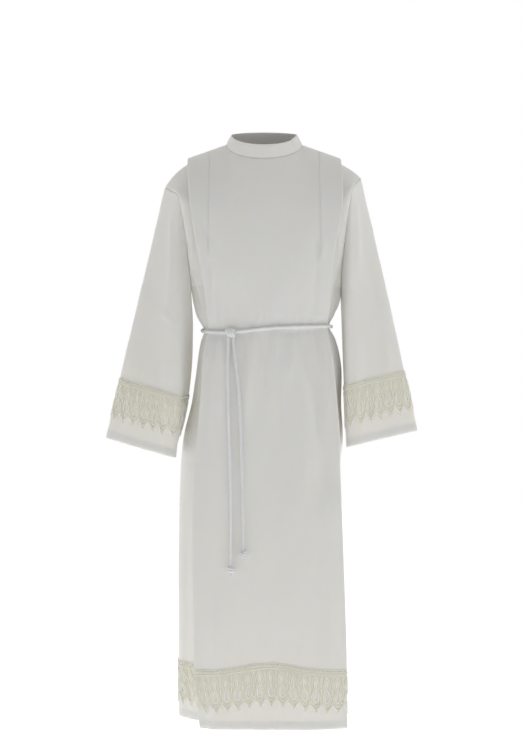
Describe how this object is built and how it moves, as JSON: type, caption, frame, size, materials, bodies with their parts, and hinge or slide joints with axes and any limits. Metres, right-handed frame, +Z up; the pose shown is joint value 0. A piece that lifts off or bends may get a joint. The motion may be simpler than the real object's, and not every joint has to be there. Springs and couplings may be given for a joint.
{
  "type": "alb with cincture",
  "caption": "Long white tunic with wide sleeves, stand collar and deep pleats, lace bands on sleeves and hem, tied at the waist with a cord; hollow, as worn",
  "frame": {"origin": "the middle of the neck at the height of the shoulder seams, where a wearer's shoulders hold the garment", "axes": "+Z up, -Y the garment's front, +X the picture's right"},
  "size_m": [0.7694, 0.299, 1.4588],
  "materials": {
    "cloth": "matte plain weave",
    "lace": "matte lace",
    "cord": "satin twisted cord"
  },
  "bodies": {
    "root": {"front": "cloth", "back": "cloth", "sleeve_left": "cloth", "sleeve_right": "cloth", "collar": "cloth", "sleeve_lace_left": "lace", "sleeve_lace_right": "lace", "hem_lace_front": "lace", "hem_lace_back": "lace", "hem_lace_left": "lace", "hem_lace_right": "lace", "cincture_waist": "cord", "cincture_knot": "cord", "cincture_end_1": "cord", "cincture_end_2": "cord", "cincture_end_knot_1": "cord", "cincture_end_knot_2": "cord"}
  },
  "joints": []
}
